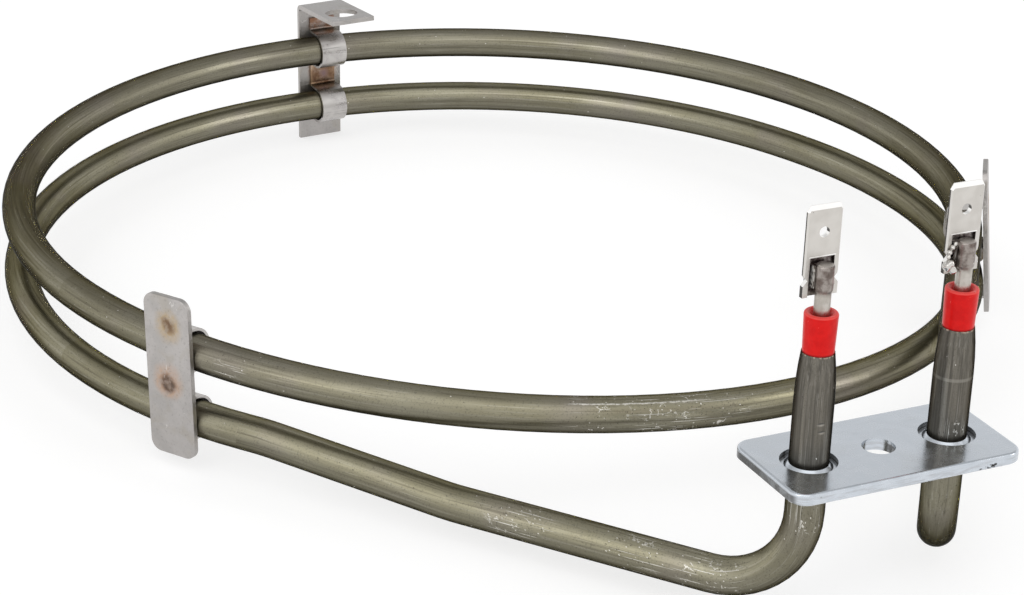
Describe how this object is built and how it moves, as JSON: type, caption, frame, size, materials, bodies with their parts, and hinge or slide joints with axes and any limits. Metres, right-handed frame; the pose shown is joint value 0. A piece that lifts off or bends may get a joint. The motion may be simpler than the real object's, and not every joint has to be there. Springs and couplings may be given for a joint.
{
  "type": "tubular heating element",
  "caption": "Ring-shaped tubular heating element with two turns, clip brackets, a fixing flange and two push-on blade terminals.",
  "frame": {"origin": "centre of the flange's screw hole, on the flange face that meets the oven wall", "axes": "+Z out of the oven wall, along the legs towards the terminals; +Y in the plane of the wall, from the flange to the ring's axis; +X to the right-hand leg, seen from the terminal side with the ring at the top"},
  "size_m": [0.1965, 0.2504, 0.0738],
  "materials": {
    "sheath_steel": "annealed drawn tube, satin olive-grey",
    "magnesia": "packed powder, matte",
    "resistance_wire": "oxidised alloy wire",
    "pin_steel": "dull drawn steel, a little rough",
    "seal_red": "red, semi-gloss",
    "blade_nickel": "nickel plate, satin",
    "weld_metal": "resistance weld, uneven",
    "flange_zinc": "bright bluish zinc plate",
    "bracket_steel": "bare sheet, light grey",
    "strap_steel": "bright thin strip"
  },
  "bodies": {
    "root": {"sheath_tube": "sheath_steel", "magnesia_fill": "magnesia", "resistance_coil": "resistance_wire", "left_terminal_pin": "pin_steel", "right_terminal_pin": "pin_steel", "left_end_seal": "seal_red", "right_end_seal": "seal_red", "left_blade_tab": "blade_nickel", "right_blade_tab": "blade_nickel", "left_pin_weld": "weld_metal", "right_pin_weld": "weld_metal", "flange_plate": "flange_zinc", "left_bracket_plate": "bracket_steel", "left_bracket_strap": "strap_steel", "right_bracket_plate": "bracket_steel", "right_bracket_strap": "strap_steel", "back_bracket_plate": "bracket_steel", "back_bracket_strap": "strap_steel"}
  },
  "joints": []
}
